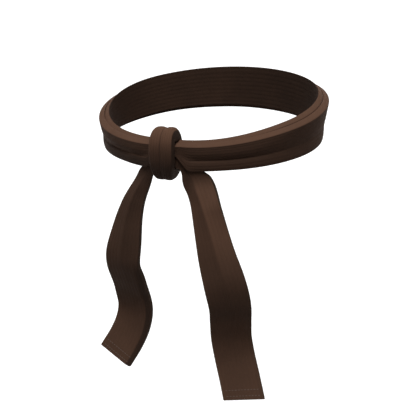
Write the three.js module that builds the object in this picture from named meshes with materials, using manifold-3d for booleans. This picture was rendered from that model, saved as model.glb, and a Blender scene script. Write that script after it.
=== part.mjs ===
// Martial arts belt, tied: one quilted cotton strap laid twice round the waist, knotted at the front
// and hanging in two tails. Millimetres, +Z up, the knot faces -Y, the wearer's right hand is at -X.
// The origin is the centre of the waist opening.
import * as THREE from "three";
import { mergeVertices } from "three/addons/utils/BufferGeometryUtils.js";
import Module from "manifold-3d";

const wasm = await Module();
wasm.setup();

// ---- driving dimensions ----
const CLEARANCE = 0.3; // between pieces that touch in the real belt
const STRAP_WIDTH = 42; // the strap laid flat
const STRAP_THICKNESS = 4.8;
const COVER_WALL = 0.8; // cotton drill cover
const WAIST_HALF_WIDTH = 122; // to the face where the two turns meet
const WAIST_HALF_DEPTH = 95;
const FRONT_DROP = 50.6; // how much lower the front of the waist loop lies than the back
const HIP_DIP = 0.9; // the loop dips over each hip by this much
const TURN_STEP = 3.5; // the outer turn lies this much lower than the inner turn
const GATHERED_WIDTH = 28; // width of each turn where the knot squeezes it
const GATHER_START = 18; // degrees from the knot where the turns begin to open out
const GATHER_END = 130; // degrees from the knot where they have their full width
const LOBE_HEIGHT = 1.2; // how far the outer turn's upper half stands out
const LOBE_RECESS = 1.3; // and how far its lower half is pressed in
const LOBE_FROM_KNOT = [1, 18]; // the halves part between these distances from the knot's side
const LOBE_FADE = [120, 168]; // and are level again between these angles from the knot
const FOLD_FROM_KNOT = [3, 19.6]; // the outer turn folds up to its top half between these distances

const KNOT_WIDTH = 28;
const KNOT_WALL_FRONT = 8; // the strap is gathered in the knot, so it is thicker there
const KNOT_WALL_TOP = 10;
const KNOT_PLEAT_DEPTH = 1.4;
const KNOT_PLEATS = 2;
const KNOT_EDGE_ROUND = 3.2;
const KNOT_EDGE_POWER = 6; // how tightly the knot's edges round off
const KNOT_HOLE_POWER = 8; // superellipse powers: the hole is nearly square, the outside round
const KNOT_OUTSIDE_POWER = 2.5;
const KNOT_SETBACK = 0.4; // the knot's centre lies this far behind the face where the turns meet
const KNOT_EASE = 1.4; // slack inside the knot for the curve of the waist turns

const TUCK_START = 1.5; // a tail begins this far from the middle of the knot
const TUCK_WIDTH = GATHERED_WIDTH / 4 + 3; // a tail's folded width inside the knot
const TUCK_LENGTH = KNOT_WIDTH / 2 - TUCK_START; // the stretch of a tail inside the knot
const TAIL_EXIT_BELOW_TURN = 8.6; // a tail's path is measured from this far below the gathered turn
const TUCK_RISE = GATHERED_WIDTH / 4 + 7; // and its tuck lies this far above that
const NECK_RANGE = [TUCK_LENGTH - 0.5, TUCK_LENGTH + 24.5]; // a tail widens between these distances
const SPLAY_PIVOT = TUCK_LENGTH + 20.5; // distances of the first two bends along a tail
const SWING_PIVOT = TUCK_LENGTH + 55.5;
const TURN_OUT_RANGE = [TUCK_LENGTH + 21.5, TUCK_LENGTH + 82.5]; // its face turns outwards here
const BEND_SHARE = 0.64; // the mid bend lies this far along the tail
const END_STITCH_INSETS = [4, 10]; // distances of the thread rows from a tail's end
const END_STITCH_MARGIN = 2;
const THREAD_WIDTH = 1;
const THREAD_THICKNESS = 0.6;

// The two tails. Each path point is [out from the knot's side, forward, down from the knot's corner].
const TUCK_PATH = [
  [TUCK_START - KNOT_WIDTH / 2, 0, -TUCK_RISE], [-6, 0, -TUCK_RISE],
  [0, 0, 1 - TUCK_RISE], [6.5, 0, 6 - TUCK_RISE],
];
const RIGHT_TAIL = {
  side: -1,
  yaw: THREE.MathUtils.degToRad(13), // its face turns outwards by this
  neckWidth: 21,
  openLength: TUCK_LENGTH + 127.5, // it has the full strap width this far along it
  path: [
    ...TUCK_PATH, [12.5, 0, 2], [20, 1, 22], [27.5, 4, 46], [34.5, 7, 72], [39.5, 6.5, 96],
    [41.5, -1, 118], [40.5, -10, 138], [39, -14, 158], [42, -12, 176], [48, -7, 193], [57, 3, 213],
  ],
};
const LEFT_TAIL = {
  side: 1,
  yaw: THREE.MathUtils.degToRad(24),
  neckWidth: 24,
  openLength: TUCK_LENGTH + 177.5,
  path: [
    ...TUCK_PATH, [13.5, 0, 4], [22.5, 1, 23], [31.5, 3.5, 48], [39, 6, 74], [45.5, 7, 100],
    [50, 2, 124], [51, -6, 145], [50.5, -12, 166], [53, -13, 187], [59, -7.5, 208], [66.5, 1, 228.5],
  ],
};

// ---- colours ----
const COLOURS = { cover: 0x3d2b22, core: 0xd8cfbd, thread: 0x4a3428 };

function fabric(slot, roughness) {
  return new THREE.MeshStandardMaterial({ color: COLOURS[slot], roughness, metalness: 0 });
}

const belt = new THREE.Group();

function addPiece(name, geometry, slot) {
  const mesh = new THREE.Mesh(geometry, fabric(slot, slot === "core" ? 0.95 : 0.85));
  mesh.name = name;
  belt.add(mesh);
}

// ---- strips: a box whose vertices are sent through place(u, v, station) ----
// u runs across the strap and v through it, both -1..1; station counts along it.
function bentStrip(stations, across, place) {
  const box = new THREE.BoxGeometry(2, 2, stations - 1, across, 1, stations - 1);
  const position = box.getAttribute("position");
  for (let i = 0; i < position.count; i++) {
    const station = Math.round(position.getZ(i) + (stations - 1) / 2);
    const point = place(position.getX(i), position.getY(i), station);
    position.setXYZ(i, point.x, point.y, point.z);
  }
  box.deleteAttribute("normal");
  box.deleteAttribute("uv");
  return mergeVertices(box, 1e-4);
}

function toSolid(geometry) {
  const vertProperties = new Float32Array(geometry.getAttribute("position").array);
  const triVerts = new Uint32Array(geometry.getIndex().array);
  return new wasm.Manifold(new wasm.Mesh({ numProp: 3, vertProperties, triVerts }));
}

function toGeometry(solid) {
  const mesh = solid.getMesh();
  const geometry = new THREE.BufferGeometry();
  geometry.setAttribute("position", new THREE.BufferAttribute(mesh.vertProperties, 3));
  geometry.setIndex(new THREE.BufferAttribute(mesh.triVerts, 1));
  return geometry;
}

function hollowOut(outer, cavity) {
  return toGeometry(toSolid(outer).subtract(toSolid(cavity)));
}

// How much smaller a layer is than the strap's outside: 0 the cover, then its cavity, then the core.
const CAVITY_INSET = COVER_WALL;
const CORE_INSET = COVER_WALL + CLEARANCE;

// ---- the waist loop ----
function smoothStep(low, high, value) {
  return THREE.MathUtils.smoothstep(value, low, high);
}

// Point and directions of the loop at an angle from the knot, counted towards +X.
function waistFrame(degrees) {
  const angle = THREE.MathUtils.degToRad(degrees);
  const slope = FRONT_DROP / (2 * WAIST_HALF_DEPTH);
  const y = -WAIST_HALF_DEPTH * Math.cos(angle);
  const point = new THREE.Vector3(
    WAIST_HALF_WIDTH * Math.sin(angle), y, slope * y + HIP_DIP * Math.cos(2 * angle));
  const along = new THREE.Vector3(
    WAIST_HALF_WIDTH * Math.cos(angle),
    WAIST_HALF_DEPTH * Math.sin(angle),
    slope * WAIST_HALF_DEPTH * Math.sin(angle) - 2 * HIP_DIP * Math.sin(2 * angle)).normalize();
  const outward = new THREE.Vector3(along.y, -along.x, 0).normalize();
  const up = new THREE.Vector3().crossVectors(outward, along);
  return { point, outward, up };
}

function angleFromKnot(degrees) {
  return Math.min(degrees, 360 - degrees);
}

function turnHeight(degrees) {
  const opened = smoothStep(GATHER_START, GATHER_END, angleFromKnot(degrees));
  return GATHERED_WIDTH + (STRAP_WIDTH - GATHERED_WIDTH) * opened;
}

// Angles of the loop's sections: close together in the knot, then 10 degrees apart.
const END_GAP_ANGLE = THREE.MathUtils.radToDeg(CLEARANCE / WAIST_HALF_WIDTH);
const NEAR_KNOT = [END_GAP_ANGLE, 4, 7, 9.5, 12, 15, 20, 26, 33];
const HALF_TURN = NEAR_KNOT.concat(Array.from({ length: 14 }, (_, i) => 43 + 10 * i));
const TURN_ANGLES = HALF_TURN.concat([180], HALF_TURN.map((degrees) => 360 - degrees).reverse());

// The angle at which the loop is this far sideways from the knot's side.
function angleAt(fromKnot) {
  return THREE.MathUtils.radToDeg(Math.asin((KNOT_WIDTH / 2 + fromKnot) / WAIST_HALF_WIDTH));
}

const FOLD_ANGLES = FOLD_FROM_KNOT.map(angleAt);
const LOBE_ANGLES = LOBE_FROM_KNOT.map(angleAt);

// The outer turn is folded up to its top half inside the knot, which leaves room for the tails.
function outerLowEdge(degrees) {
  return -smoothStep(...FOLD_ANGLES, angleFromKnot(degrees));
}

// How far the outer turn's face stands out of its plane: its upper half more, its lower half less.
function lobe(u, degrees) {
  const fromKnot = angleFromKnot(degrees);
  const strength = smoothStep(...LOBE_ANGLES, fromKnot) * (1 - smoothStep(...LOBE_FADE, fromKnot));
  return strength * (LOBE_HEIGHT * smoothStep(0, 0.5, u) - LOBE_RECESS * smoothStep(0, 0.5, -u));
}

function turnStrip(layer, inset) {
  const isOuter = layer === "outer";
  const step = (isOuter ? -1 : 1) * TURN_STEP / 2;
  const middle = (isOuter ? 1 : -1) * (STRAP_THICKNESS + CLEARANCE) / 2;
  const halfThickness = STRAP_THICKNESS / 2 - inset;
  const endReach = inset === CAVITY_INSET ? CLEARANCE / 2 : 0;
  return bentStrip(TURN_ANGLES.length, 4, (u, v, station) => {
    const degrees = TURN_ANGLES[station];
    const { point, outward, up } = waistFrame(degrees);
    const half = turnHeight(degrees) / 2;
    const low = (isOuter ? outerLowEdge(degrees) : -1) * half + inset;
    const high = half - inset;
    const bulge = isOuter && v > 0 ? lobe(u, degrees) : 0;
    const placed = point.clone()
      .addScaledVector(up, low + (high - low) * (u + 1) / 2 + step)
      .addScaledVector(outward, middle + v * halfThickness + bulge);
    if (station === 0) placed.x -= endReach;
    if (station === TURN_ANGLES.length - 1) placed.x += endReach;
    return placed;
  });
}

function addWaistTurn(layer) {
  const cavity = turnStrip(layer, CAVITY_INSET);
  addPiece(`${layer}_turn_cover`, hollowOut(turnStrip(layer, 0), cavity), "cover");
  addPiece(`${layer}_turn_core`, turnStrip(layer, CORE_INSET), "core");
}

// ---- the knot: one gathered turn of the strap over both waist turns ----
const KNOT_STATIONS = 25;
const KNOT_CENTRE_Z = waistFrame(0).point.z;
const KNOT_HOLE_HALF_DEPTH = STRAP_THICKNESS + 1.5 * CLEARANCE + KNOT_EASE;
const KNOT_HOLE_HALF_HEIGHT = (GATHERED_WIDTH + TURN_STEP) / 2 + CLEARANCE + KNOT_EASE / 2;

function superellipse(angle, halfDepth, halfHeight, power) {
  const bend = (value) => Math.sign(value) * Math.abs(value) ** (2 / power);
  return [halfDepth * bend(Math.cos(angle)), halfHeight * bend(Math.sin(angle))];
}

function knotStrip(inset) {
  const wall = (KNOT_WALL_FRONT + KNOT_WALL_TOP) / 2;
  const share = 1 - 2 * inset / (wall - KNOT_EDGE_ROUND / 2);
  const gap = CLEARANCE / KNOT_HOLE_HALF_DEPTH;
  const reach = inset === CAVITY_INSET ? gap / 2 : 0;
  return bentStrip(KNOT_STATIONS, 6, (u, v, station) => {
    const sweep = (station / (KNOT_STATIONS - 1) - 0.5) * 2;
    const angle = Math.PI + sweep * (Math.PI - gap + reach);
    const hole = superellipse(angle, KNOT_HOLE_HALF_DEPTH, KNOT_HOLE_HALF_HEIGHT, KNOT_HOLE_POWER);
    const outside = superellipse(angle, KNOT_HOLE_HALF_DEPTH + KNOT_WALL_FRONT,
      KNOT_HOLE_HALF_HEIGHT + KNOT_WALL_TOP, KNOT_OUTSIDE_POWER);
    const pleat = KNOT_PLEAT_DEPTH * (1 - Math.abs(Math.sin(KNOT_PLEATS * Math.PI / 2 * u)));
    const round = KNOT_EDGE_ROUND * u ** KNOT_EDGE_POWER;
    const drop = v > 0 ? (pleat + round) / wall : 0;
    const through = (1 + v * share) / 2 - drop * share;
    const y = THREE.MathUtils.lerp(hole[0], outside[0], through);
    const z = THREE.MathUtils.lerp(hole[1], outside[1], through);
    const x = u * (KNOT_WIDTH / 2 - inset);
    return new THREE.Vector3(x, y - WAIST_HALF_DEPTH + KNOT_SETBACK, z + KNOT_CENTRE_Z);
  });
}

function addKnotTurn() {
  addPiece("knot_turn_cover", hollowOut(knotStrip(0), knotStrip(CAVITY_INSET)), "cover");
  addPiece("knot_turn_core", knotStrip(CORE_INSET), "core");
}

// ---- the tails ----
function tailCurve(facts) {
  const layerY = -WAIST_HALF_DEPTH - (STRAP_THICKNESS + CLEARANCE) / 2;
  const exitZ = KNOT_CENTRE_Z - GATHERED_WIDTH / 2 - TAIL_EXIT_BELOW_TURN;
  const points = facts.path.map(([out, front, down]) =>
    new THREE.Vector3(facts.side * (KNOT_WIDTH / 2 + out), layerY - front, exitZ - down));
  const curve = new THREE.CatmullRomCurve3(points, false, "centripetal");
  return { ...facts, curve, length: curve.getLength() };
}

// Point and directions of a tail at a distance along it. Its face turns outwards below the knot.
function tailFrame(tail, distance) {
  const share = THREE.MathUtils.clamp(distance / tail.length, 0, 1);
  const point = tail.curve.getPointAt(share);
  const along = tail.curve.getTangentAt(share);
  point.addScaledVector(along, distance - share * tail.length);
  const yaw = tail.yaw * smoothStep(...TURN_OUT_RANGE, distance);
  const forward = new THREE.Vector3(tail.side * Math.sin(yaw), -Math.cos(yaw), 0);
  const across = new THREE.Vector3().crossVectors(forward, along).normalize();
  const outward = new THREE.Vector3().crossVectors(along, across);
  return { point, along, across, outward };
}

function tailHalfWidth(tail, distance) {
  const leaving = smoothStep(...NECK_RANGE, distance);
  const neck = TUCK_WIDTH + (tail.neckWidth - TUCK_WIDTH) * leaving;
  const opened = smoothStep(SPLAY_PIVOT, tail.openLength, distance);
  return (neck + (STRAP_WIDTH - neck) * opened) / 2;
}

// A stretch of a tail. Each station is [distance, share of the half width, share of the thickness].
function tailStrip(tail, stations, inset) {
  return bentStrip(stations.length, 2, (u, v, index) => {
    const [distance, widthShare, thicknessShare] = stations[index];
    const { point, across, outward } = tailFrame(tail, distance);
    const halfWidth = (tailHalfWidth(tail, distance) - inset) * widthShare;
    const halfThickness = (STRAP_THICKNESS / 2 - inset) * thicknessShare;
    return point.addScaledVector(across, u * halfWidth).addScaledVector(outward, v * halfThickness);
  });
}

const NOSE_ANGLES = [0, 30, 60, 75].map(THREE.MathUtils.degToRad);

// Stations from one distance to another, a step apart.
function evenStations(from, to, step) {
  const count = Math.max(1, Math.round((to - from) / step));
  return Array.from({ length: count + 1 }, (_, i) => [from + (to - from) * i / count, 1, 1]);
}

// A half-round end on a bend line across the strap ("fold") or on a pivot through it ("pivot").
function roundEnd(pivot, radius, kind) {
  return NOSE_ANGLES.slice(1).map((angle) => {
    const share = Math.cos(angle);
    const distance = pivot + radius * Math.sin(angle);
    return kind === "fold" ? [distance, 1, share] : [distance, share, 1];
  });
}

function addTailPiece(name, tail, from, end) {
  const radius = end.kind === "pivot" ? tailHalfWidth(tail, end.at) : STRAP_THICKNESS / 2;
  const stretch = (inset) => {
    const shift = end.kind === "edge" ? inset : 0;
    const stations = evenStations(from, end.at - shift, end.step);
    const nose = end.kind === "edge" ? [] : roundEnd(end.at, radius - inset, end.kind);
    return stations.concat(nose);
  };
  const cavityStations = stretch(CAVITY_INSET);
  cavityStations[0] = [from - 1, 1, 1];
  const cavity = tailStrip(tail, cavityStations, CAVITY_INSET);
  addPiece(`${name}_cover`, hollowOut(tailStrip(tail, stretch(0), 0), cavity), "cover");
  addPiece(`${name}_core`, tailStrip(tail, stretch(CORE_INSET), CORE_INSET), "core");
}

// A row of thread that closes a tail's end, as it lies on one face (1 front, -1 back).
function endStitchRow(tail, inset, face) {
  const halfWidth = STRAP_WIDTH / 2 - END_STITCH_MARGIN;
  const offset = STRAP_THICKNESS / 2 + CLEARANCE + THREAD_THICKNESS / 2;
  return bentStrip(2, 1, (u, v, station) => {
    const distance = tail.length - inset + (station - 0.5) * THREAD_WIDTH;
    const { point, across, outward } = tailFrame(tail, distance);
    return point.addScaledVector(across, u * halfWidth)
      .addScaledVector(outward, face * offset + v * THREAD_THICKNESS / 2);
  });
}

function addEndStitches(name, tail) {
  END_STITCH_INSETS.forEach((inset, row) => {
    addPiece(`${name}_end_stitch_${row + 1}_front`, endStitchRow(tail, inset, 1), "thread");
    addPiece(`${name}_end_stitch_${row + 1}_back`, endStitchRow(tail, inset, -1), "thread");
  });
}

function addTail(name, facts) {
  const tail = tailCurve(facts);
  const bend = BEND_SHARE * tail.length;
  const foldGap = STRAP_THICKNESS / 2 + CLEARANCE;
  const pivotGap = tailHalfWidth(tail, SPLAY_PIVOT) + CLEARANCE;
  addTailPiece(`${name}_tail_tuck`, tail, 0, { at: SPLAY_PIVOT, kind: "pivot", step: 4 });
  addTailPiece(`${name}_tail_neck`, tail, SPLAY_PIVOT + pivotGap,
    { at: SWING_PIVOT, kind: "fold", step: 8 });
  addTailPiece(`${name}_tail_upper`, tail, SWING_PIVOT + foldGap,
    { at: bend, kind: "fold", step: 10 });
  addTailPiece(`${name}_tail_lower`, tail, bend + foldGap,
    { at: tail.length, kind: "edge", step: 8 });
  addEndStitches(name, tail);
}

addWaistTurn("inner");
addWaistTurn("outer");
addKnotTurn();
addTail("right", RIGHT_TAIL);
addTail("left", LEFT_TAIL);

export default belt;
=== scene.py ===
"""A tied martial arts belt: one quilted cotton strap laid twice round the waist, knotted at the front.

The strap is cut flat, quilted and then bent to its place. Metres, +Z up, the knot faces -Y and the
wearer's right hand is at -X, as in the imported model.
"""

from functools import lru_cache
from math import asin, ceil, cos, degrees, exp, pi, radians, sin

import bmesh
import bpy
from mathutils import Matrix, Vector


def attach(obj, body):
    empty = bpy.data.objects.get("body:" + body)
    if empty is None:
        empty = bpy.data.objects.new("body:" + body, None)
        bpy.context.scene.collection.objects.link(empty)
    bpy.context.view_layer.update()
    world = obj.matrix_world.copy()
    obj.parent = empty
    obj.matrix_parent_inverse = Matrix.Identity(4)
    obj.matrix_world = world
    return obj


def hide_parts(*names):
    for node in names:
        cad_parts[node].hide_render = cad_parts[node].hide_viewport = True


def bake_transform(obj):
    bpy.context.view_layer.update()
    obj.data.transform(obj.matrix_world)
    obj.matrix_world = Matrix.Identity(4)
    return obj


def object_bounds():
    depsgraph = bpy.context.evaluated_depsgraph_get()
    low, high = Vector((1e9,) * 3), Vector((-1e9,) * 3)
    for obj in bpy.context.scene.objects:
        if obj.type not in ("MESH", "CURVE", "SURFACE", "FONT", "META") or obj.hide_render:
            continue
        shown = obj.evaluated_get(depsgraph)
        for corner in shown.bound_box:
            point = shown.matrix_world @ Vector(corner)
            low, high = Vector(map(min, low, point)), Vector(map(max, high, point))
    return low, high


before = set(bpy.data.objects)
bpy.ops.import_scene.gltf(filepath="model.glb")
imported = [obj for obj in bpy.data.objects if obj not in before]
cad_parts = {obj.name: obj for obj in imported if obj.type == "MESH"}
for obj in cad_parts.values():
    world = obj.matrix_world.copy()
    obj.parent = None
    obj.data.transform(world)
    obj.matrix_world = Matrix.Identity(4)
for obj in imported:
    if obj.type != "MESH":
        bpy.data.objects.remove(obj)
cad_low, cad_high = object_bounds()

MM = 0.001

# ---- the strap ----
STRAP_WIDTH = 42 * MM
STRAP_THICKNESS = 4.8 * MM
CLEARANCE = 0.3 * MM
EDGE_RADIUS = 0.7 * MM
EDGE_SEGMENTS = 3
FACE_WIDTH = STRAP_WIDTH - 2 * EDGE_RADIUS
RIM_START = STRAP_WIDTH / 2 - 0.8 * EDGE_RADIUS  # past this from its middle line lies the strap's rim
QUILT_ROWS = 9  # rows of stitching along the strap
CELLS_PER_ROW = 6
ROW_SPACING = FACE_WIDTH / QUILT_ROWS
ROW_DEPTH = 0.2 * MM
ROW_HALF_WIDTH = 0.75 * MM
SECTION_STEP = 3 * MM
SHARP_ANGLE = radians(40)

# ---- the cloth ----
STITCH_PITCH = 3.2 * MM
STITCH_SHARE = 0.78  # of the pitch, and the rest is the gap between two stitches
THREAD_HALF_WIDTH = 0.35 * MM
TWILL_SPACING = 0.9 * MM
TWILL_DIRECTION = (0.87, 0.5)  # across its lines, which lie at 60 degrees to the strap
RUBBED_WIDTH = 1.1 * MM  # the strap's edges are rubbed pale this far in
PATCHES_SHOW = 0.3  # how much each of these shows in the colour
SLUBS_SHOW = 0.14
RUBBING_SHOWS = 0.12
THREAD_SHOWS = 0.16
TWILL_RELIEF = 0.35  # and in the surface, beside the yarns' 1
SLUB_RELIEF = 0.8
THREAD_RELIEF = 1.2

# ---- the waist loop; its angles are in degrees from the knot, towards +X ----
WAIST_HALF_WIDTH = 122 * MM
WAIST_HALF_DEPTH = 95 * MM
FRONT_DROP = 50.6 * MM
HIP_DIP = 0.9 * MM
HIP_SWELL = 2.2 * MM  # the loop stands out this much more over the wearer's right hip
HIP_SWELL_ANGLE = 260
HIP_SWELL_SPREAD = 32
LOOP_LENGTH = 686 * MM
LOOP_GAP = 0.15 * MM  # left at each end of a turn
TURN_STEP = 3.5 * MM  # the outer turn sits this much lower than the inner one
GATHERED_WIDTH = 28 * MM
GATHER_ANGLES = (18, 130)  # between these the strap opens to its full width
FRONT_SAG = 2.8 * MM  # the top edges sit this much lower near the knot
INNER_SAG = 1.4 * MM  # and the inner turn's this much lower again
LEFT_SAG_ANGLES = (12, 62)
RIGHT_SAG_ANGLES = (40, 125)
BACK_DEPTH = 2.2 * MM  # the lower edges sit this much lower behind the back
BACK_ANGLES = (120, 170)
LEANING_TOP = (0.8, 1)  # share of the strap's width over which its top leans

# ---- the outer turn's two rolls; heights run from -1 at its lower edge to 1 at its upper ----
LOBE_HEIGHT = 1.6 * MM  # the upper roll stands out by this
LOW_LOBE_RECESS = 0.3 * MM  # the lower roll is pressed in by this
LOBE_RECESS = 2.0 * MM  # and by this at the sides, where it is a level band
CREASE_DEPTH = 2.3 * MM
CREASE_HEIGHT = -0.25
LEVEL_ANGLES = (30, 66)  # the crease turns into the level band
LOBE_FADE_ANGLES = (120, 168)
LOBE_RISE = (2, 1.05)  # how soon the upper roll reaches its height, near the knot and at the sides
LOBE_POWER = (2.4, 1.3)
LOW_LOBE_RISE = 2.4
UNDERCUT = 1.1 * MM  # the lower edge tucks in by this
UNDERCUT_POWER = 7
POCKET_DEPTH = 2.9 * MM
POCKET_ANGLES = (18, 27)
POCKET_HEIGHTS = (0.02, 0.27)  # below the middle
POCKET_SHOWS = 0.3  # share of the pocket's lift that reaches the outer face

# ---- the knot ----
KNOT_WIDTH = 28 * MM
KNOT_LENGTH = 140 * MM
KNOT_WALL_FRONT = 8 * MM
KNOT_WALL_BACK = 6 * MM
KNOT_TOP = 23.7 * MM  # the knot's height over and under its middle
KNOT_BOTTOM = 25.8 * MM
KNOT_HOLE_TOP = 12.4 * MM
KNOT_HOLE_BOTTOM = 14.6 * MM
KNOT_EASE = 0.7 * MM
KNOT_HOLE_DEPTH = STRAP_THICKNESS + 1.5 * CLEARANCE + KNOT_EASE
KNOT_POWER = 2.5  # the higher, the squarer its outline
KNOT_HOLE_POWER = 8
KNOT_HALF_WIDTHS = (9.6 * MM, 12.9 * MM, 11.6 * MM)  # at the bottom, the middle and the top
KNOT_ASIDE = -2.4 * MM
KNOT_BEHIND = 0.4 * MM
KNOT_EDGE_ROUND = 2 * MM
KNOT_EDGE_POWER = 10
KNOT_LOBE_HEIGHT = 2 * MM  # the two rolls on its front stand out by this
KNOT_LOBE_POWER = 0.45
KNOT_LOBE_FACING = (-0.75, 0.5)  # the rolls start behind the top and fade out underneath
KNOT_LOBE_TURN = 0.5
KNOT_CREASE = 0.04  # place of the crease between them, from -1 to 1 across the knot
KNOT_CREASE_WIDTH = 0.045

# ---- the tails; distances run along them from inside the knot ----
TUCK_WIDTH = GATHERED_WIDTH / 4 + 3 * MM
TUCK_LENGTH = KNOT_WIDTH / 2 - 1.5 * MM
TAIL_EXIT_BELOW_TURN = 8.6 * MM
NECK_RANGE = (TUCK_LENGTH - 0.5 * MM, TUCK_LENGTH + 24.5 * MM)
TURN_OUT_RANGE = (TUCK_LENGTH + 21.5 * MM, TUCK_LENGTH + 82.5 * MM)
SPLAY_PIVOT = TUCK_LENGTH + 20.5 * MM
SWING_PIVOT = TUCK_LENGTH + 55.5 * MM
BEND_PIVOT_SHARE = 0.64  # of the tail's length
SPLAY_REACH = (11 * MM, 9 * MM)  # distances before and after a pivot
SWING_REACH = (16 * MM, 20 * MM)
BEND_REACH = (17 * MM, 17 * MM)
TOP_SEAM = 51 * MM
END_SEAM = 112 * MM
SPREAD_IN = (14 * MM, 38 * MM)  # the outer side spreads here
SPREAD_OUT = (30 * MM, 120 * MM)  # and draws in again here
RIDGE_HEIGHT = 5 * MM
RIDGE_IN = (28 * MM, 46 * MM)
RIDGE_OUT = (85 * MM, 165 * MM)
RIDGE_CREST = 0.45  # share of the ridge that stands over the strap's own plane
RIDGE_ROUNDING = 0.0008
PRESSED_RANGE = (30 * MM, 50 * MM)  # up to here the outer turn presses the strap thin
PRESSED_BACK = 0.95 * MM
PRESSED_THICKNESS = 0.54
HUG_RANGE = (34 * MM, 66 * MM)
CURL_START = 0.7  # share of half the width past which the edge curls back
CURL_POWER = 1.4
CURL_IN = (115 * MM, 165 * MM)
CURL_OUT = (200 * MM, 255 * MM)
CURL_LEFT = 0.6  # share of the curl that is left at the end
FULL_CURL = 4.6 * MM
END_SLANT_LENGTH = 60 * MM
END_STITCH_INSETS = (4 * MM, 10 * MM)
END_STITCH_MARGIN = 2 * MM
END_STITCH_SIZE = (0.42 * MM, 1.3 * MM, 0.28 * MM)
END_STITCH_SINK = 0.02 * MM

# path points, in mm: out from the knot's side, forward, down from the tail's exit
TUCK_PATH = [(-12.5, 0, -14), (-6, 0, -14), (0, 0, -13), (6.5, 0, -8)]
TAILS = {
    "right_tail": {
        "side": -1,
        "yaw": radians(5),
        "neck_width": 18 * MM,
        "open_length": TUCK_LENGTH + 117 * MM,
        "spread": 0,
        "end_slant": 0.5 * MM,
        "curl": FULL_CURL,
        # painted light and shade along this tail as (distance in mm, value) stops, and the painted
        # light each half gets
        "fade": [(20, 0.2), (60, 0.32), (105, 0.36), (165, 0.16), (210, 0.54), (258, 0.46)],
        "halves": (1.1, 0.8),
        "path": TUCK_PATH + [
            (13.5, 0, 2), (23.5, 1, 22), (31, 4, 46), (35.5, 7, 72), (39.5, 6.5, 96),
            (39.5, -1, 118), (40.5, -10, 138), (40, -14, 158), (42.5, -12, 176), (48, -7, 193),
            (57, 3, 213),
        ],
    },
    "left_tail": {
        "side": 1,
        "yaw": radians(24),
        "neck_width": 24 * MM,
        "open_length": TUCK_LENGTH + 140 * MM,
        "spread": 4.3 * MM,
        "end_slant": 3.4 * MM,
        "curl": 0.8 * MM,
        # painted light and shade along this tail as (distance in mm, value) stops, and the painted
        # light each half gets
        "fade": [
            (20, 0.3), (50, 0.76), (85, 0.7), (130, 0.38), (166, 0.2), (198, 0.42), (225, 0.52),
            (273, 0.48),
        ],
        "halves": (0.82, 1.2),
        "path": TUCK_PATH + [
            (13.5, 0, 4), (23.5, 1, 23), (33, 3.5, 48), (42, 6, 74), (51, 7, 100),
            (54.5, 2, 124), (52, -6, 145), (50.5, -12, 166), (54, -13, 187), (62, -7.5, 207),
            (71, 1, 226),
        ],
    },
}

# ---- painted light and shade, 0 for the darkest painted shade to 1 for the brightest painted light; stops are (angle or distance in mm, value) ----
TOP_RIM_PAINTED_LIGHT = 0.8
LOW_RIM_PAINTED_SHADE = 0.1
INNER_TURN_PAINTED_SHADE = [(0, 0.15), (110, 0.1), (150, 0.1), (200, 0.2), (360, 0.2)]
UPPER_ROLL_PAINTED_SHADING = [(0, 0.3), (90, 0.28), (180, 0.5), (270, 0.24), (360, 0.3)]
LOWER_ROLL_PAINTED_SHADING = [(0, 0.34), (90, 0.28), (180, 0.5), (270, 0.06), (360, 0)]
BETWEEN_ROLLS = (-0.15, -0.1)  # share of the strap's width
KNOT_RIM_PAINTED_SHADE = 0
KNOT_TOP_PAINTED_LIGHT = 1.12
KNOT_PAINTED_LIGHT_HEIGHTS = (-0.45, 0.7)
KNOT_CREASE_PAINTED_SHADE = 0.6
# painted shade on each tail's right-hand rim, standing in for its shaded side face, and on its back
TAIL_RIM_PAINTED_SHADE = 0.04
TAIL_BACK_PAINTED_SHADE = 0.3
TAIL_MIDDLE = (-0.03, 0.06)  # between its two halves
TAIL_HALVES_END = (105 * MM, 160 * MM)
CURL_SHADE = (0.76, 0.84)
CURL_SHADE_IN = (120 * MM, 165 * MM)

# ---- the room ----
CAMERA_PLACE = (0.2720, -0.5771, 0.0805)
CAMERA_DOWN = 16.38  # degrees
CAMERA_TURN = 25.26
CAMERA_FIELD = 40
FLOOR_BELOW = 200 * MM
FLOOR_HALF_SIZE = 4
FLOOR_CELLS = 60
FLOOR_FLAT_RADIUS = 1.6
FLOOR_RISE = 0.35
FLOOR_GREY = 0.8
FLOOR_GLOW = 0.5
ROOM_LIGHT = 0.09
SUNS = {  # the way each one stands, its softness in degrees and its strength
    "key": ((0.2, -0.46, 1), 25, 2),
    "overhead": ((0, -0.1, 1), 30, 1),
    "behind": ((-0.3, 1, 0.35), 30, 1),
}


def smooth_step(low, high, value):
    share = min(max((value - low) / (high - low), 0), 1)
    return share * share * (3 - 2 * share)


def mix(a, b, share):
    return a + (b - a) * share


def between(stops, value):
    """A value read off a short list of (place, value) stops."""
    for (low, first), (high, second) in zip(stops, stops[1:]):
        if value <= high:
            return mix(first, second, smooth_step(low, high, value))
    return stops[-1][1]


def add_camera():
    data = bpy.data.cameras.new("camera")
    data.sensor_fit = "HORIZONTAL"
    data.angle = radians(CAMERA_FIELD)
    camera = bpy.data.objects.new("camera", data)
    camera.location = CAMERA_PLACE
    camera.rotation_euler = (radians(90 - CAMERA_DOWN), 0, radians(CAMERA_TURN))
    bpy.context.collection.objects.link(camera)
    bpy.context.scene.camera = camera


# ---- materials ----
def node(tree, kind, **settings):
    made = tree.nodes.new(kind)
    for name, value in settings.items():
        if name in made.inputs:
            made.inputs[name].default_value = value
        else:
            setattr(made, name, value)
    return made


def feed(tree, socket, value):
    """Links a socket to another one, or sets it to a number or a colour."""
    if isinstance(value, bpy.types.NodeSocket):
        tree.links.new(value, socket)
    elif value is not None:
        socket.default_value = value


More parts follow.
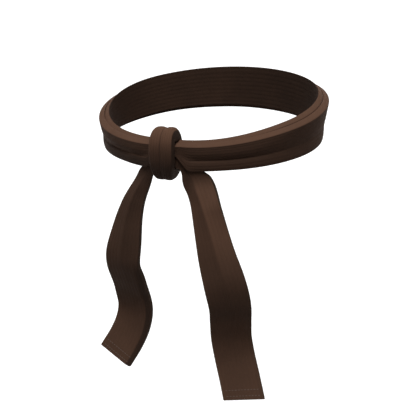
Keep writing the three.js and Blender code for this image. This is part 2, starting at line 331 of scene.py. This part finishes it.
def math_node(tree, operation, first, second=None, third=None, clamp=False):
    made = node(tree, "ShaderNodeMath", operation=operation, use_clamp=clamp)
    for socket, value in zip(made.inputs, (first, second, third)):
        feed(tree, socket, value)
    return made.outputs[0]


def noise(tree, vector, scale, detail):
    made = node(tree, "ShaderNodeTexNoise", Scale=scale, Detail=detail, Roughness=0.6)
    tree.links.new(vector, made.inputs["Vector"])
    return made.outputs["Fac"]


def mix_colour(tree, share, first, second):
    made = node(tree, "ShaderNodeMix", data_type="RGBA")
    for socket, value in zip((made.inputs[0], made.inputs[6], made.inputs[7]), (share, first, second)):
        feed(tree, socket, value)
    return made.outputs[2]


def linear(red, green, blue):
    """A colour given as it looks on screen, 0 to 255, as the shader takes it."""
    def channel(value):
        share = value / 255
        return share / 12.92 if share <= 0.04045 else ((share + 0.055) / 1.055) ** 2.4
    return (channel(red), channel(green), channel(blue), 1)


BROWN = linear(72, 51, 40)
BROWN_PAINTED_SHADE = linear(36, 25, 19)  # painted shade, inside and in the folds
BROWN_PAINTED_LIGHT = linear(95, 68, 53)  # and painted light, where the light falls most
BROWN_WORN = linear(112, 84, 67)
THREAD_BROWN = linear(78, 57, 45)
SHEEN_BROWN = linear(170, 140, 120)


def cotton_drill():
    """Brown cotton drill, quilted: a twill weave, rows of stitches, slubs and pale worn edges."""
    material = bpy.data.materials.new("cotton_drill")
    material.use_nodes = True
    tree = material.node_tree
    shader = tree.nodes["Principled BSDF"]
    shader.inputs["Sheen Weight"].default_value = 0.025
    shader.inputs["Sheen Roughness"].default_value = 0.45
    shader.inputs["Sheen Tint"].default_value = SHEEN_BROWN
    shader.inputs["Specular IOR Level"].default_value = 0.14

    cloth = node(tree, "ShaderNodeUVMap", uv_map="strap").outputs[0]
    split = node(tree, "ShaderNodeSeparateXYZ")
    tree.links.new(cloth, split.inputs[0])
    along, across = split.outputs[0], split.outputs[1]
    place = node(tree, "ShaderNodeTexCoord").outputs["Object"]

    # twill lines, broken by single yarns
    twill_phase = math_node(
        tree, "ADD",
        math_node(tree, "MULTIPLY", along, TWILL_DIRECTION[0] / TWILL_SPACING),
        math_node(tree, "MULTIPLY", across, TWILL_DIRECTION[1] / TWILL_SPACING))
    twill = math_node(tree, "SINE", math_node(tree, "MULTIPLY", twill_phase, 2 * pi))
    yarn = noise(tree, cloth, 1800, 1)
    slub = noise(tree, place, 220, 3)
    patch = noise(tree, place, 28, 2)

    # rows of lockstitch
    row_count = math_node(tree, "DIVIDE", across, ROW_SPACING)
    row = math_node(tree, "FRACT", math_node(tree, "ADD", row_count, 0.5))
    from_row = math_node(tree, "ABSOLUTE", math_node(tree, "SUBTRACT", row, 0.5))
    in_row = math_node(tree, "LESS_THAN", from_row, THREAD_HALF_WIDTH / ROW_SPACING)
    stitch = math_node(tree, "FRACT", math_node(tree, "DIVIDE", along, STITCH_PITCH))
    in_stitch = math_node(tree, "LESS_THAN", stitch, STITCH_SHARE)
    from_middle = math_node(tree, "ABSOLUTE", across)
    on_face = math_node(tree, "LESS_THAN", from_middle, STRAP_WIDTH / 2 - MM)
    thread = math_node(tree, "MULTIPLY", math_node(tree, "MULTIPLY", in_row, in_stitch), on_face)

    wear = node(tree, "ShaderNodeAttribute", attribute_name="wear").outputs["Fac"]
    rubbed = math_node(tree, "MULTIPLY", wear, math_node(tree, "MULTIPLY", slub, 1.1), clamp=True)

    # painted light and shade: each point's colour runs from the painted-shade brown to the
    # painted-light brown; the random patches are the cloth's own uneven tone
    fade = node(tree, "ShaderNodeAttribute", attribute_name="fade").outputs["Fac"]
    uneven = math_node(tree, "MULTIPLY", math_node(tree, "SUBTRACT", patch, 0.5), PATCHES_SHOW)
    painted_light_and_patches = math_node(tree, "ADD", fade, uneven, clamp=True)
    colour = mix_colour(tree, painted_light_and_patches, BROWN_PAINTED_SHADE, BROWN_PAINTED_LIGHT)
    for layer, shows, tint in (
            (slub, SLUBS_SHOW, BROWN_WORN),
            (rubbed, RUBBING_SHOWS, BROWN_WORN),
            (thread, THREAD_SHOWS, THREAD_BROWN)):
        colour = mix_colour(tree, math_node(tree, "MULTIPLY", layer, shows), colour, tint)
    tree.links.new(colour, shader.inputs["Base Color"])
    tree.links.new(math_node(tree, "MULTIPLY_ADD", slub, 0.2, 0.74), shader.inputs["Roughness"])

    weave = yarn
    for layer, relief in ((twill, TWILL_RELIEF), (slub, SLUB_RELIEF), (thread, THREAD_RELIEF)):
        weave = math_node(tree, "ADD", weave, math_node(tree, "MULTIPLY", layer, relief))
    bump = node(tree, "ShaderNodeBump", Strength=0.55, Distance=0.12 * MM)
    tree.links.new(weave, bump.inputs["Height"])
    tree.links.new(bump.outputs[0], shader.inputs["Normal"])
    return material


def sewing_thread():
    """Polyester thread: twisted plies along each stitch."""
    material = bpy.data.materials.new("sewing_thread")
    material.use_nodes = True
    tree = material.node_tree
    shader = tree.nodes["Principled BSDF"]
    shader.inputs["Sheen Weight"].default_value = 0.2
    shader.inputs["Specular IOR Level"].default_value = 0.4
    place = node(tree, "ShaderNodeTexCoord").outputs["Object"]
    ply = noise(tree, place, 3500, 2)
    tree.links.new(mix_colour(tree, ply, BROWN, THREAD_BROWN), shader.inputs["Base Color"])
    tree.links.new(math_node(tree, "MULTIPLY_ADD", ply, 0.25, 0.45), shader.inputs["Roughness"])
    bump = node(tree, "ShaderNodeBump", Strength=0.5, Distance=0.08 * MM)
    tree.links.new(ply, bump.inputs["Height"])
    tree.links.new(bump.outputs[0], shader.inputs["Normal"])
    return material


# ---- cutting and quilting the strap flat ----
def edges_where(bm, test):
    return [edge for edge in bm.edges if test(edge.verts[0].co, edge.verts[1].co)]


def runs_along(a, b):
    return abs(a.y - b.y) < 1e-7 and abs(a.z - b.z) < 1e-7


def flat_strap(start, end, cut_end=False):
    """A closed stretch of strap laid flat: x along it, y across, z through it, with rounded edges."""
    bm = bmesh.new()
    bmesh.ops.create_cube(bm, size=1)
    bmesh.ops.scale(bm, vec=(end - start, STRAP_WIDTH, STRAP_THICKNESS), verts=bm.verts)
    bmesh.ops.translate(bm, vec=((start + end) / 2, 0, 0), verts=bm.verts)
    rounded = edges_where(bm, runs_along)
    if cut_end:
        rounded += edges_where(bm, lambda a, b: a.x > end - 1e-6 and b.x > end - 1e-6)
    bmesh.ops.bevel(
        bm, geom=rounded, offset=EDGE_RADIUS, offset_type="OFFSET", segments=EDGE_SEGMENTS,
        profile=0.5, affect="EDGES", material=-1)
    broad = edges_where(bm, lambda a, b: abs(abs(a.y - b.y) - FACE_WIDTH) < 1e-6)
    bmesh.ops.subdivide_edges(
        bm, edges=broad, cuts=QUILT_ROWS * CELLS_PER_ROW - 1, use_grid_fill=True)
    long_edges = edges_where(bm, lambda a, b: abs(a.x - b.x) > (end - start) / 2)
    sections = ceil((end - start) / SECTION_STEP)
    bmesh.ops.subdivide_edges(bm, edges=long_edges, cuts=sections, use_grid_fill=True)
    bm.normal_update()
    return bm


def map_cloth(bm):
    """The UV map is the flat strap in metres, carried round its edges."""
    layer = bm.loops.layers.uv.new("strap")
    half = STRAP_THICKNESS / 2
    for face in bm.faces:
        normal = face.normal
        for loop in face.loops:
            x, y, z = loop.vert.co
            if abs(normal.z) > 0.7:
                loop[layer].uv = (x, y)
            elif abs(normal.y) > 0.7:
                loop[layer].uv = (x, y + (half - z if y > 0 else z - half))
            else:
                loop[layer].uv = (x + half - z, y)


def quilt(bm):
    """Rows of stitching pull both faces in, and the edges keep a mark of where they rub."""
    wear = bm.verts.layers.float.new("wear")
    face_height = STRAP_THICKNESS / 2 - 1e-6
    for vert in bm.verts:
        from_edge = STRAP_WIDTH / 2 - abs(vert.co.y)
        vert[wear] = exp(-from_edge / RUBBED_WIDTH)
        if abs(vert.co.z) < face_height:
            continue
        row = round(vert.co.y / ROW_SPACING)
        from_row = (vert.co.y - row * ROW_SPACING) / ROW_HALF_WIDTH
        pull = ROW_DEPTH * exp(-from_row * from_row)
        vert.co.z -= pull if vert.co.z > 0 else -pull


def quilted_strap(start, end, cut_end=False):
    bm = flat_strap(start, end, cut_end)
    map_cloth(bm)
    quilt(bm)
    return bm


def bend(bm, place, painted_shading):
    """Moves each point of the flat strap to its place and marks the painted light and shade there."""
    fade = bm.verts.layers.float.new("fade")
    for vert in bm.verts:
        vert[fade] = painted_shading(*vert.co)
        vert.co = place(*vert.co)


def finish_piece(bm, name, material):
    bmesh.ops.recalc_face_normals(bm, faces=bm.faces)
    for face in bm.faces:
        face.smooth = True
    for edge in bm.edges:
        edge.smooth = edge.calc_face_angle(0) < SHARP_ANGLE
    mesh = bpy.data.meshes.new(name)
    bm.to_mesh(mesh)
    bm.free()
    mesh.materials.append(material)
    piece = bpy.data.objects.new(name, mesh)
    bpy.context.collection.objects.link(piece)
    return piece


# ---- the waist turns ----
@lru_cache(maxsize=None)
def waist_frame(turned):
    """Point, outward and up of the loop at an angle from the knot, counted towards +X."""
    angle = radians(turned)
    slope = FRONT_DROP / (2 * WAIST_HALF_DEPTH)
    y = -WAIST_HALF_DEPTH * cos(angle)
    point = Vector((WAIST_HALF_WIDTH * sin(angle), y, slope * y + HIP_DIP * cos(2 * angle)))
    along = Vector((
        WAIST_HALF_WIDTH * cos(angle),
        WAIST_HALF_DEPTH * sin(angle),
        slope * WAIST_HALF_DEPTH * sin(angle) - 2 * HIP_DIP * sin(2 * angle))).normalized()
    outward = Vector((along.y, -along.x, 0)).normalized()
    swell = HIP_SWELL * exp(-((turned - HIP_SWELL_ANGLE) / HIP_SWELL_SPREAD) ** 2)
    return point + outward * swell, outward, outward.cross(along)


def angle_at(from_knot):
    """The angle at which the loop is this far sideways from the knot's side."""
    return degrees(asin((KNOT_WIDTH / 2 + from_knot) / WAIST_HALF_WIDTH))


FOLD_ANGLES = (angle_at(-5 * MM), angle_at(9.5 * MM))  # the outer turn opens out of its fold
LOBE_ANGLES = (angle_at(1 * MM), angle_at(18 * MM))  # and its rolls begin


def lobe(height, from_knot):
    """How far the outer turn's face lies out of its plane, at a height of -1 to 1.

    Two rolls with a crease between them near the knot, and a lip over a level band at the sides."""
    strength = smooth_step(*LOBE_ANGLES, from_knot) * (1 - smooth_step(*LOBE_FADE_ANGLES, from_knot))
    level = smooth_step(*LEVEL_ANGLES, from_knot)
    low_roll = -mix(LOW_LOBE_RECESS, LOBE_RECESS, level)
    groove = -mix(CREASE_DEPTH, LOBE_RECESS, level)
    if height > CREASE_HEIGHT:
        rise = (height - CREASE_HEIGHT) / (1 - CREASE_HEIGHT) * mix(*LOBE_RISE, level)
        swell = 1 - (1 - min(rise, 1)) ** mix(*LOBE_POWER, level)
        return strength * mix(groove, LOBE_HEIGHT, swell)
    rise = (CREASE_HEIGHT - height) / (1 + CREASE_HEIGHT) * LOW_LOBE_RISE
    swell = 1 - (1 - min(rise, 1)) ** LOBE_POWER[0]
    under = UNDERCUT * max(-height, 0) ** UNDERCUT_POWER
    return strength * (mix(groove, low_roll, swell) - under)


def pocket(height, from_knot):
    """How far the outer turn's lower half is lifted off the inner turn by a tail under it."""
    return (POCKET_DEPTH * (1 - smooth_step(*POCKET_ANGLES, from_knot))
            * smooth_step(*POCKET_HEIGHTS, -height))


def turn_place(layer):
    """Where a point of the flat strap lies on the inner or the outer turn."""
    outer = layer == "outer"
    step = (-1 if outer else 1) * TURN_STEP / 2
    middle = (1 if outer else -1) * (STRAP_THICKNESS + CLEARANCE) / 2
    top_slope = TURN_STEP / (STRAP_THICKNESS + CLEARANCE)

    def place(x, y, z):
        turned = round(360 * x / LOOP_LENGTH, 6)
        from_knot = min(turned, 360 - turned)
        point, outward, up = waist_frame(turned)
        half = mix(GATHERED_WIDTH, STRAP_WIDTH, smooth_step(*GATHER_ANGLES, from_knot)) / 2
        low = -half * (smooth_step(*FOLD_ANGLES, from_knot) if outer else 1)
        low -= BACK_DEPTH * smooth_step(*BACK_ANGLES, from_knot)
        sag_angles = LEFT_SAG_ANGLES if turned < 180 else RIGHT_SAG_ANGLES
        sag = (FRONT_SAG + (0 if outer else INNER_SAG)) * (1 - smooth_step(*sag_angles, from_knot))
        share = y / STRAP_WIDTH + 0.5
        height = mix(low, half - sag, share)
        bulge = 0
        if outer and z > 0:
            bulge = lobe(height / half, from_knot) + POCKET_SHOWS * pocket(height / half, from_knot)
        elif outer:
            bulge = pocket(height / half, from_knot)
        # the top edges of the two turns lie in one slope
        shear = top_slope * z * smooth_step(*LEANING_TOP, share)
        return point + up * (height + step - shear) + outward * (middle + z + bulge)

    return place


def turn_painted_shading(layer):
    """Painted light on the top edges and painted shade inside and in the folds."""
    def painted_shading(x, y, z):
        turned = 360 * x / LOOP_LENGTH
        if y > RIM_START:
            return TOP_RIM_PAINTED_LIGHT
        if y < -RIM_START:
            return LOW_RIM_PAINTED_SHADE
        if layer == "inner":
            return between(INNER_TURN_PAINTED_SHADE, turned)
        upper = between(UPPER_ROLL_PAINTED_SHADING, turned)
        lower = between(LOWER_ROLL_PAINTED_SHADING, turned)
        return mix(lower, upper, smooth_step(*BETWEEN_ROLLS, y / STRAP_WIDTH))

    return painted_shading


def add_turn(layer, material):
    bm = quilted_strap(LOOP_GAP, LOOP_LENGTH - LOOP_GAP)
    bend(bm, turn_place(layer), turn_painted_shading(layer))
    piece = finish_piece(bm, f"{layer}_turn", material)
    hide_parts(f"{layer}_turn_cover", f"{layer}_turn_core")
    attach(piece, "waist_wraps")


# ---- the knot ----
KNOT_CENTRE = Vector((0, -WAIST_HALF_DEPTH + KNOT_BEHIND, waist_frame(0)[0].z))


def superellipse(angle, half_depth, half_height, power):
    def swell(value):
        return abs(value) ** (2 / power) * (1 if value > 0 else -1)
    return half_depth * swell(cos(angle)), half_height * swell(sin(angle))


def knot_place(x, y, z):
    """Where a point of the flat strap lies on the closed band round both turns."""
    angle = 2 * pi * x / KNOT_LENGTH
    share = y / STRAP_WIDTH * 2
    through = z / STRAP_THICKNESS + 0.5
    at_back, at_top = cos(angle) > 0, sin(angle) > 0
    hole = superellipse(
        angle, KNOT_HOLE_DEPTH, KNOT_HOLE_TOP if at_top else KNOT_HOLE_BOTTOM, KNOT_HOLE_POWER)
    outside = superellipse(
        angle, KNOT_HOLE_DEPTH + (KNOT_WALL_BACK if at_back else KNOT_WALL_FRONT),
        KNOT_TOP if at_top else KNOT_BOTTOM, KNOT_POWER)
    if share < KNOT_CREASE:
        roll = sin(pi * (share + 1) / (KNOT_CREASE + 1))
    else:
        roll = sin(pi * (share - KNOT_CREASE) / (1 - KNOT_CREASE))
    facing = smooth_step(*KNOT_LOBE_FACING, -cos(angle + KNOT_LOBE_TURN))
    lift = KNOT_LOBE_HEIGHT * max(roll, 0) ** KNOT_LOBE_POWER * facing
    lift -= KNOT_EDGE_ROUND * share ** KNOT_EDGE_POWER
    depth = mix(hole[0], outside[0], through)
    height = mix(hole[1], outside[1], through)
    reach = max((outside[0] ** 2 + outside[1] ** 2) ** 0.5, MM)
    grow = 1 + lift * through / reach
    from_middle = (abs(height) / KNOT_TOP) ** 2
    half = mix(KNOT_HALF_WIDTHS[1], KNOT_HALF_WIDTHS[2 if at_top else 0], from_middle)
    return KNOT_CENTRE + Vector((KNOT_ASIDE + share * half, depth * grow, height * grow))


def knot_painted_shading(x, y, z):
    """Painted light on top, painted shade underneath, on its sides and in its crease."""
    if abs(y) > RIM_START:
        return KNOT_RIM_PAINTED_SHADE
    share = y / STRAP_WIDTH * 2
    # painted shade in the crease between the rolls, painted light towards the top
    crease = exp(-((share - KNOT_CREASE) / KNOT_CREASE_WIDTH) ** 2)
    lit = smooth_step(*KNOT_PAINTED_LIGHT_HEIGHTS, sin(2 * pi * x / KNOT_LENGTH))
    return KNOT_TOP_PAINTED_LIGHT * lit * (1 - KNOT_CREASE_PAINTED_SHADE * crease)


def add_knot(material):
    bm = quilted_strap(0, KNOT_LENGTH)
    ends = [face for face in bm.faces if abs(face.normal.x) > 0.9]
    bmesh.ops.delete(bm, geom=ends, context="FACES_ONLY")
    bend(bm, knot_place, knot_painted_shading)
    bmesh.ops.remove_doubles(bm, verts=bm.verts, dist=1e-6)
    piece = finish_piece(bm, "knot_turn", material)
    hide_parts("knot_turn_cover", "knot_turn_core")
    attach(piece, "waist_wraps")


# ---- the tails ----
def centripetal_curve(points, steps=24):
    """Points close together on a smooth curve through the given ones."""
    ends = [points[0] * 2 - points[1]] + points + [points[-1] * 2 - points[-2]]
    curve = []
    for before, start, end, after in zip(ends, ends[1:], ends[2:], ends[3:]):
        first = (start - before).length ** 0.5
        middle = (end - start).length ** 0.5
        last = (after - end).length ** 0.5
        chord = (end - start) / middle
        leave = ((start - before) / first - (end - before) / (first + middle) + chord) * middle
        arrive = (chord - (after - start) / (middle + last) + (after - end) / last) * middle
        for i in range(steps):
            t = i / steps
            curve.append(
                start + leave * t + (start * -3 + end * 3 - leave * 2 - arrive) * t ** 2
                + (start * 2 - end * 2 + leave + arrive) * t ** 3)
    return curve + [points[-1]]


class Tail:
    """One hanging end: its path, and where each point of its flat strap lies along it."""

    def __init__(self, name, facts):
        self.name = name
        self.facts = facts
        layer_y = -WAIST_HALF_DEPTH - (STRAP_THICKNESS + CLEARANCE) / 2
        exit_z = KNOT_CENTRE.z - GATHERED_WIDTH / 2 - TAIL_EXIT_BELOW_TURN
        self.curve = centripetal_curve([
            Vector((
                facts["side"] * (KNOT_WIDTH / 2 + out * MM),
                layer_y - front * MM,
                exit_z - down * MM))
            for out, front, down in facts["path"]])
        self.distances = [0]
        for a, b in zip(self.curve, self.curve[1:]):
            self.distances.append(self.distances[-1] + (b - a).length)
        self.length = self.distances[-1]
        self.frames = {}

    def point(self, distance):
        if distance >= self.length:
            tangent = (self.curve[-1] - self.curve[-2]).normalized()
            return self.curve[-1] + tangent * (distance - self.length)
        low, high = 0, len(self.distances) - 1
        while high - low > 1:
            middle = (low + high) // 2
            low, high = (middle, high) if self.distances[middle] <= distance else (low, middle)
        share = (distance - self.distances[low]) / (self.distances[high] - self.distances[low])
        return self.curve[low].lerp(self.curve[high], share)

    def frame(self, distance):
        """Point, across and outward at a distance along the tail."""
        key = round(distance, 7)
        if key not in self.frames:
            reach = 1.5 * MM
            ahead, behind = self.point(distance + reach), self.point(max(distance - reach, 0))
            along = (ahead - behind).normalized()
            yaw = self.facts["yaw"] * smooth_step(*TURN_OUT_RANGE, distance)
            forward = Vector((self.facts["side"] * sin(yaw), -cos(yaw), 0))
            across = forward.cross(along).normalized()
            self.frames[key] = (self.point(distance), across, along.cross(across))
        return self.frames[key]

    def half_width(self, distance, outer_side):
        """Half the strap's gathered width, which spreads more on its outer side behind the turns."""
        neck = mix(TUCK_WIDTH, self.facts["neck_width"], smooth_step(*NECK_RANGE, distance))
        opened = smooth_step(SPLAY_PIVOT, self.facts["open_length"], distance)
        half = mix(neck, STRAP_WIDTH, opened) / 2
        if outer_side:
            spread = smooth_step(*SPREAD_IN, distance) * (1 - smooth_step(*SPREAD_OUT, distance))
            half += self.facts["spread"] * spread
        return half

    def place(self, x, y, z):
        share = y / STRAP_WIDTH * 2
        at_end = smooth_step(self.length - END_SLANT_LENGTH, self.length, x)
        x += share * self.facts["end_slant"] * at_end
        point, across, outward = self.frame(x)
        width = share * self.half_width(x, share * self.facts["side"] > 0)
        ridge = RIDGE_HEIGHT * smooth_step(*RIDGE_IN, x) * (1 - smooth_step(*RIDGE_OUT, x))
        pressed = 1 - smooth_step(*PRESSED_RANGE, x)
        lift = ridge * (RIDGE_CREST - (share * share + RIDGE_ROUNDING) ** 0.5)
        lift -= PRESSED_BACK * pressed
        curl = max((share - CURL_START) / (1 - CURL_START), 0) ** CURL_POWER
        curl *= smooth_step(*CURL_IN, x) * mix(1, CURL_LEFT, smooth_step(*CURL_OUT, x))
        lift -= self.facts["curl"] * curl
        through = z * mix(1, PRESSED_THICKNESS, pressed)
        placed = point + across * width + outward * (through + lift)
        # behind the outer turn the strap curves back with it
        hug = 1 - smooth_step(*HUG_RANGE, x)
        curve_back = 1 - (1 - (placed.x / WAIST_HALF_WIDTH) ** 2) ** 0.5
        placed.y += hug * WAIST_HALF_DEPTH * curve_back
        return placed

    def painted_shading(self, x, y, z):
        """Painted light where it hangs free, painted shade at its right-hand edge and on its back."""
        if y > RIM_START:
            return TAIL_RIM_PAINTED_SHADE
        if z < 0:
            return TAIL_BACK_PAINTED_SHADE
        share = y / STRAP_WIDTH * 2
        fade = between(self.facts["fade"], x / MM)
        # the two halves of the folded tail get different painted light, as the light falls on them
        # from one side
        half = mix(*self.facts["halves"], smooth_step(*TAIL_MIDDLE, share))
        fade *= mix(half, 1, smooth_step(*TAIL_HALVES_END, x))
        curled = smooth_step(*CURL_SHADE, share) * smooth_step(*CURL_SHADE_IN, x)
        return fade * (1 - curled * self.facts["curl"] / FULL_CURL)


def add_tail_stretch(tail, part, start, end, pivot, reach, nodes, material):
    """A stretch of a tail between two distances along it; the points round its pivot are looked up but
    not used.
    """
    bm = quilted_strap(start, end, cut_end=end >= tail.length)
    bend(bm, tail.place, tail.painted_shading)
    piece = finish_piece(bm, f"{tail.name}_{part}", material)
    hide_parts(*nodes)
    tail.point(pivot - reach[0])
    tail.point(pivot + reach[1])
    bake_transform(piece)


def add_end_stitches(tail, material):
    """Two rows of stitches across the tail's end, on both faces."""
    bm = bmesh.new()
    count = int((STRAP_WIDTH - 2 * END_STITCH_MARGIN) / STITCH_PITCH)
    height = STRAP_THICKNESS / 2 - END_STITCH_SINK
    for inset in END_STITCH_INSETS:
        for face in (1, -1):
            for i in range(count):
                y = (i - (count - 1) / 2) * STITCH_PITCH
                made = bmesh.ops.create_uvsphere(bm, u_segments=8, v_segments=6, radius=1)["verts"]
                bmesh.ops.scale(bm, vec=END_STITCH_SIZE, verts=made)
                bmesh.ops.translate(bm, vec=(tail.length - inset, y, face * height), verts=made)
    bend(bm, tail.place, tail.painted_shading)
    piece = finish_piece(bm, f"{tail.name}_end_stitches", material)
    side = tail.name.split("_")[0]
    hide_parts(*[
        f"{side}_end_stitch_{row}_{face}" for row in (1, 2) for face in ("front", "back")])
    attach(piece, f"{tail.name}_lower")


def add_tail(tail, cloth, thread):
    def nodes(*parts):
        return [f"{tail.name}_{part}_{layer}" for part in parts for layer in ("cover", "core")]

    add_tail_stretch(
        tail, "top", 0, TOP_SEAM, SPLAY_PIVOT, SPLAY_REACH,
        nodes("tuck", "neck"), cloth)
    add_tail_stretch(
        tail, "middle", TOP_SEAM, END_SEAM, SWING_PIVOT, SWING_REACH,
        nodes("upper"), cloth)
    add_tail_stretch(
        tail, "end", END_SEAM, tail.length, BEND_PIVOT_SHARE * tail.length,
        BEND_REACH, nodes("lower"), cloth)
    add_end_stitches(tail, thread)


# ---- the room ----
def add_stage():
    """A pale floor that rises far away all round."""
    bm = bmesh.new()
    bmesh.ops.create_grid(bm, x_segments=FLOOR_CELLS, y_segments=FLOOR_CELLS, size=FLOOR_HALF_SIZE)
    for vert in bm.verts:
        far = max(vert.co.xy.length - FLOOR_FLAT_RADIUS, 0)
        vert.co.z = cad_low[2] - FLOOR_BELOW + FLOOR_RISE * far * far
    for face in bm.faces:
        face.smooth = True
    mesh = bpy.data.meshes.new("floor")
    bm.to_mesh(mesh)
    bm.free()
    material = bpy.data.materials.new("pale_floor")
    material.use_nodes = True
    shader = material.node_tree.nodes["Principled BSDF"]
    shader.inputs["Base Color"].default_value = (FLOOR_GREY, FLOOR_GREY, FLOOR_GREY, 1)
    shader.inputs["Roughness"].default_value = 0.9
    shader.inputs["Emission Color"].default_value = (1, 1, 1, 1)
    shader.inputs["Emission Strength"].default_value = FLOOR_GLOW
    mesh.materials.append(material)
    floor = bpy.data.objects.new("floor", mesh)
    floor.visible_diffuse = False
    bpy.context.collection.objects.link(floor)


def add_sun(name, toward, softness, strength):
    data = bpy.data.lights.new(name, "SUN")
    data.angle = radians(softness)
    data.energy = strength
    lamp = bpy.data.objects.new(name, data)
    lamp.rotation_euler = Vector(toward).to_track_quat("Z", "Y").to_euler()
    bpy.context.collection.objects.link(lamp)


def light_room():
    world = bpy.data.worlds.new("studio")
    world.use_nodes = True
    background = world.node_tree.nodes["Background"]
    background.inputs["Color"].default_value = (1, 1, 1, 1)
    background.inputs["Strength"].default_value = ROOM_LIGHT
    bpy.context.scene.world = world
    bpy.context.scene.view_settings.view_transform = "Standard"
    for name, facts in SUNS.items():
        add_sun(name, *facts)


add_camera()
cotton = cotton_drill()
thread = sewing_thread()
add_turn("inner", cotton)
add_turn("outer", cotton)
add_knot(cotton)
for name, facts in TAILS.items():
    add_tail(Tail(name, facts), cotton, thread)
add_stage()
light_room()
